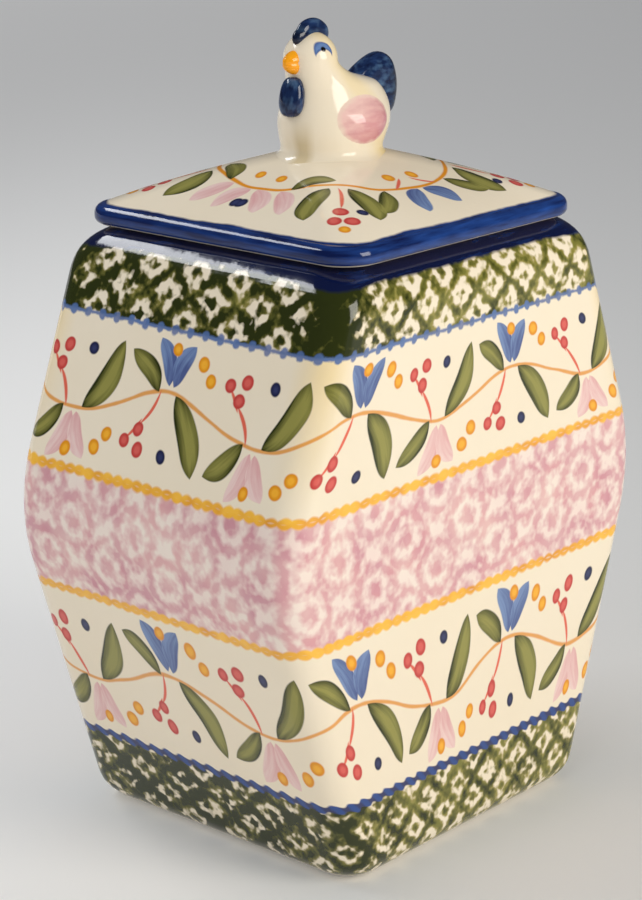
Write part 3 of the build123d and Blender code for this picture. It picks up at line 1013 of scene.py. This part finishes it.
WATTLE_CENTRE = (-18.7, 0.0, CROWN + 19.9)
WATTLE_HALF = (3.6, 4.4, 6.2)
WATTLE_FULLNESS = 0.6
WATTLE_TAPER = 0.08
WATTLE_LEAN = 0.12
WATTLE_STEPS = 26
wattle_rings = []
for turn in np.linspace(-pi / 2, pi / 2, WATTLE_STEPS)[1:-1]:
    swell = cos(turn) ** WATTLE_FULLNESS * (1 - WATTLE_TAPER * sin(turn))
    ring = oval_ring(0, WATTLE_HALF[0] * swell, WATTLE_HALF[1] * swell, WATTLE_HALF[2] * sin(turn))
    ring[:, 0] += WATTLE_LEAN * ring[:, 2]
    wattle_rings.append(ring + np.array(WATTLE_CENTRE))
wattle = lay_mesh("wattle", wattle_rings)
material = cobalt_glaze("wattle_cobalt", streak=(0.5, 0.5, 0.2), dark_from=-23.0, dark_over=-4.0)
wattle.data.materials.append(material)
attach(wattle, "lid")
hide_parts("hen_wattle")

TAIL_TIP = (28.2, CROWN + 8.4)
TAIL_TOP = (26.0, CROWN + 30.8)
TAIL_FRONT = (3.6, CROWN + 19.6)
TAIL_ROOT = (9.0, TAIL_TIP[1])
TAIL_BACK_BULGE = 3.8
TAIL_TOP_BULGE = 2.2
TAIL_HALF_THICKNESS = 4.0
TAIL_FULLNESS = 5.0
TAIL_SMOOTHINGS = 6


def bowed(start, end, bulge, steps):
    """Points along a bow from one point to another that bulges to the right of its way."""
    start, end = np.array(start), np.array(end)
    shares = np.linspace(0, 1, steps)[:, None]
    aside = np.array((end[1] - start[1], start[0] - end[0])) / np.linalg.norm(end - start)
    return start + (end - start) * shares + aside * bulge * 4 * shares * (1 - shares)


tail_outline = np.concatenate([
    bowed(TAIL_TIP, TAIL_TOP, TAIL_BACK_BULGE, 24)[:-2],
    bowed(TAIL_TOP, TAIL_FRONT, TAIL_TOP_BULGE, 24)[2:],
    bowed(TAIL_FRONT, TAIL_ROOT, 0, 8)[1:],
    bowed(TAIL_ROOT, TAIL_TIP, 0, 12)[1:-1]])
for _ in range(TAIL_SMOOTHINGS):
    beside = np.roll(tail_outline, 1, axis=0) + np.roll(tail_outline, -1, axis=0)
    tail_outline = (2 * tail_outline + beside) / 4
tail = pillow("tail", tail_outline, TAIL_HALF_THICKNESS, TAIL_FULLNESS)
material = cobalt_glaze("tail_cobalt", streak=(0.25, 0.6, 0.6), dark_from=26.5, dark_over=5.0)
tail.data.materials.append(material)
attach(tail, "lid")
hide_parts("hen_tail")

# Beak
# A blunt clay cone let into the head, with the line of the mouth pressed into each side.
# It is dipped in amber glaze.

# How far from the middle of the head each ring of the beak lies, and its radius
BEAK_PROFILE = (
    (4.0, 3.6), (6.5, 3.8), (8.0, 3.8), (9.2, 3.5), (10.4, 2.9), (11.4, 2.2), (12.0, 1.5), (12.3, 0.8))
BEAK_NARROWING = 0.74
BEAK_DROP = 0.4
MOUTH_LINE_DEPTH = 0.16
MOUTH_LINE_WIDTH = 0.5
BEAK_AMBER = tone(255, 176, 32)
BEAK_DEEP_AMBER = tone(244, 150, 16)
beak_rings = []
for reach, radius in BEAK_PROFILE:
    up, aside, _ = oval_ring(0, radius, radius * BEAK_NARROWING, 0).T
    aside = aside * (1 - MOUTH_LINE_DEPTH * np.exp(-(up / MOUTH_LINE_WIDTH) ** 2))
    out = np.full(HEN_STEPS, HEAD[0] - reach)
    beak_rings.append(np.stack([out, aside, HEAD[2] - BEAK_DROP + up], axis=1))
beak = lay_mesh("beak", beak_rings)
material, where = new_glaze("beak_amber")
fire(material, where, coat(mottle(where, 3.0), BEAK_AMBER, BEAK_DEEP_AMBER))
beak.data.materials.append(material)
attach(beak, "lid")
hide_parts("hen_beak")

# Wings
# A shallow oval pad of clay, pressed on each flank before firing so that its edge runs into the body.
# It is brushed rose pink, with the cream showing through round its edge.

WING_CENTRE = (-0.2, 12.0)
WING_HALF = (12.2, 8.4)
WING_PROUD = 1.5
WING_SUNK = 0.12
WING_DEPTH = 1.6
WING_MIDDLE = 0.06
WING_STREAK = (0.12, 0.5, 0.5)
WING_PINK = tone(240, 198, 188)
WING_ROSE = tone(206, 132, 140)


def flank(x, level):
    """How far the hen's side stands out at a place along it and a level."""
    centre, half_length, half_width = hen_section(level)
    return half_width * np.sqrt(np.clip(1 - ((x - centre) / half_length) ** 2, 0, 1))


material, where = new_glaze("wing_rose")
brush = where.node("ShaderNodeVectorMath", {"operation": "MULTIPLY"}, {0: where, 1: WING_STREAK})
east, _, height = where.parts()
along = (east - WING_CENTRE[0]) / WING_HALF[0]
above = (height - CROWN - WING_CENTRE[1]) / WING_HALF[1]
outward = along * along + above * above
thick = edge(mottle(brush, 1.0, 3.0) - 0.55 + 0.42 * along - 0.5 * above, 0.9)
rose = coat(thick, WING_PINK, WING_ROSE)
painted = edge(0.8 - outward + 0.4 * (mottle(where, 4.0) - 0.5), 0.4)
fire(material, where, coat(painted, cream_ground(where), rose))

# Each ring's share of the pad's size, and how far it stands proud of the flank, in front and behind
turns = np.linspace(0, 2 * pi, HEN_STEPS, endpoint=False)
wing_profile = []
for share in np.linspace(WING_MIDDLE, 1, 16):
    wing_profile.append((share, WING_PROUD * (1 - share ** 2) ** 1.5 - WING_SUNK))
for share in np.linspace(1, WING_MIDDLE, 8)[1:]:
    wing_profile.append((share, (WING_DEPTH - WING_SUNK) * share ** 8 - WING_DEPTH))
for side, name in ((-1, "left_wing"), (1, "right_wing")):
    wing_rings = []
    for share, proud in wing_profile:
        x = WING_CENTRE[0] + WING_HALF[0] * share * np.cos(turns)
        level = WING_CENTRE[1] + WING_HALF[1] * share * np.sin(turns)
        wing_rings.append(np.stack([x, side * (flank(x, level) + proud), CROWN + level], axis=1))
    wing = lay_mesh(name, wing_rings)
    wing.data.materials.append(material)
    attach(wing, "lid")
    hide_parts("hen_" + name)

# Stage
# A wide sheet of pale paper as the floor, with a soft pool of light behind the canister, under three
# soft lamps in a grey room. The camera stands where the photographer stood.

CAMERA_AZIMUTH = radians(-48.61)
right = Vector((cos(CAMERA_AZIMUTH), sin(CAMERA_AZIMUTH), 0))

# The floor's own glow, in metres aside of the canister and behind it as the camera sees it
FLOOR_REACH = 9.0
POOL_STRENGTH = 0.16
POOL_PLACE = (-0.15, 0.4)
POOL_SPREAD = (0.03, 0.6)
FLOOR_GLOW = 0.04
GLOW_BEHIND = 0.032
GLOW_ASIDE = 0.8
SEEN_PAPER = tone(219, 219, 216)
LIT_PAPER = tone(252, 250, 246)
PAPER_ROUGHNESS = 0.7
BLACK = (0, 0, 0, 1)
WHITE = (1, 1, 1, 1)
floor_corners = [(FLOOR_REACH * x, FLOOR_REACH * y, 0) for x, y in ((-1, -1), (1, -1), (1, 1), (-1, 1))]
floor_mesh = bpy.data.meshes.new("floor")
floor_mesh.from_pydata(floor_corners, [], [(0, 1, 2, 3)])
floor = bpy.data.objects.new("floor", floor_mesh)
bpy.context.scene.collection.objects.link(floor)
material = bpy.data.materials.new("floor_paper")
material.use_nodes = True
pen = Shade(material.node_tree)
east, north, _ = pen.node("ShaderNodeTexCoord", {}, {}, "Object").parts()
aside = east * right.x + north * right.y
behind = north * right.x - east * right.y
off_aside, off_behind = aside - POOL_PLACE[0], behind - POOL_PLACE[1]
spread = off_aside * off_aside / POOL_SPREAD[0] + off_behind * off_behind / POOL_SPREAD[1]
pool = POOL_STRENGTH * spread.math("EXPONENT", 0 - spread)
glow = pool + (FLOOR_GLOW + GLOW_BEHIND * behind) * (1 - GLOW_ASIDE * aside)
rays = ("Is Camera Ray", "Is Glossy Ray", "Is Transmission Ray")
seen = larger(*[pen.node("ShaderNodeLightPath", {}, {}, ray) for ray in rays])
shine = coat(seen * glow, BLACK, WHITE)
colour = coat(seen, LIT_PAPER, SEEN_PAPER)
paper = material.node_tree.nodes["Principled BSDF"]
material.node_tree.links.new(shine.socket, paper.inputs["Emission Color"])
material.node_tree.links.new(colour.socket, paper.inputs["Base Color"])
paper.inputs["Emission Strength"].default_value = 1.0
paper.inputs["Roughness"].default_value = PAPER_ROUGHNESS
floor_mesh.materials.append(material)

LOOK_AT = Vector((0, 0, 0.13))


def softbox(name, azimuth, elevation, distance, width, height, power, colour, mirrored=True):
    """A soft lamp that faces the canister. Azimuth 0 is in front of the -Y face, 90 beside the +X one."""
    turn, rise = radians(azimuth), radians(elevation)
    out = Vector((sin(turn) * cos(rise), -cos(turn) * cos(rise), sin(rise)))
    lamp = bpy.data.lights.new(name, "AREA")
    lamp.shape = "RECTANGLE"
    lamp.size = width
    lamp.size_y = height
    lamp.energy = power
    lamp.color = colour
    holder = bpy.data.objects.new(name, lamp)
    holder.location = LOOK_AT + out * distance
    holder.rotation_euler = out.to_track_quat("Z", "Y").to_euler()
    holder.visible_glossy = mirrored
    bpy.context.scene.collection.objects.link(holder)


softbox("key", azimuth=9, elevation=22, distance=1.1, width=0.5, height=0.6,
        power=6.2, colour=(1, 0.96, 0.88))
softbox("left_fill", azimuth=-80, elevation=25, distance=2.5, width=2.0, height=2.0,
        power=7.8, colour=(0.92, 0.96, 1), mirrored=False)
softbox("back", azimuth=-162, elevation=45, distance=1.1, width=0.75, height=0.17,
        power=3.6, colour=(0.95, 0.97, 1))

# The room lights the canister evenly, and the glaze mirrors a darker one
ROOM_TOP = tone(172, 172, 174)
ROOM_SIDES = tone(212, 214, 220)
MIRRORED_ROOM = tone(70, 70, 74)
ROOM_STRENGTH = 0.87
world = bpy.data.worlds.new("studio")
bpy.context.scene.world = world
world.use_nodes = True
pen = Shade(world.node_tree)
mirrored = pen.node("ShaderNodeLightPath", {}, {}, "Is Glossy Ray")
_, _, rise = pen.node("ShaderNodeTexCoord", {}, {}, "Generated").parts()
room = coat(mirrored, coat(edge(rise - 0.5, 1.0), ROOM_SIDES, ROOM_TOP), MIRRORED_ROOM)
background = world.node_tree.nodes["Background"]
world.node_tree.links.new(room.socket, background.inputs["Color"])
background.inputs["Strength"].default_value = ROOM_STRENGTH

IMAGE_HEIGHT = 900
FOCAL_PIXELS = 2581.67
CENTRE_OFFSET = (12.64, 3.09)
CAMERA_ELEVATION = radians(16.77)
CAMERA_DISTANCE = 0.86106
CAMERA_TARGET = Vector((0, 0, 0.12))
CAMERA_ROLL = radians(-0.40)
back = Vector((sin(CAMERA_AZIMUTH) * cos(CAMERA_ELEVATION), -cos(CAMERA_AZIMUTH) * cos(CAMERA_ELEVATION),
               sin(CAMERA_ELEVATION)))
level_up = back.cross(right)
rolled_right = right * cos(CAMERA_ROLL) + level_up * sin(CAMERA_ROLL)
rolled_up = back.cross(rolled_right)
lens = bpy.data.cameras.new("camera")
lens.sensor_width = 36.0
lens.lens = FOCAL_PIXELS * lens.sensor_width / IMAGE_HEIGHT
lens.shift_x = -CENTRE_OFFSET[0] / IMAGE_HEIGHT
lens.shift_y = CENTRE_OFFSET[1] / IMAGE_HEIGHT
camera = bpy.data.objects.new("camera", lens)
camera.matrix_world = Matrix.Translation(CAMERA_TARGET + back * CAMERA_DISTANCE) @ Matrix(
    (rolled_right, rolled_up, back)).transposed().to_4x4()
bpy.context.scene.collection.objects.link(camera)
bpy.context.scene.camera = camera
bpy.context.scene.view_settings.view_transform = "Standard"
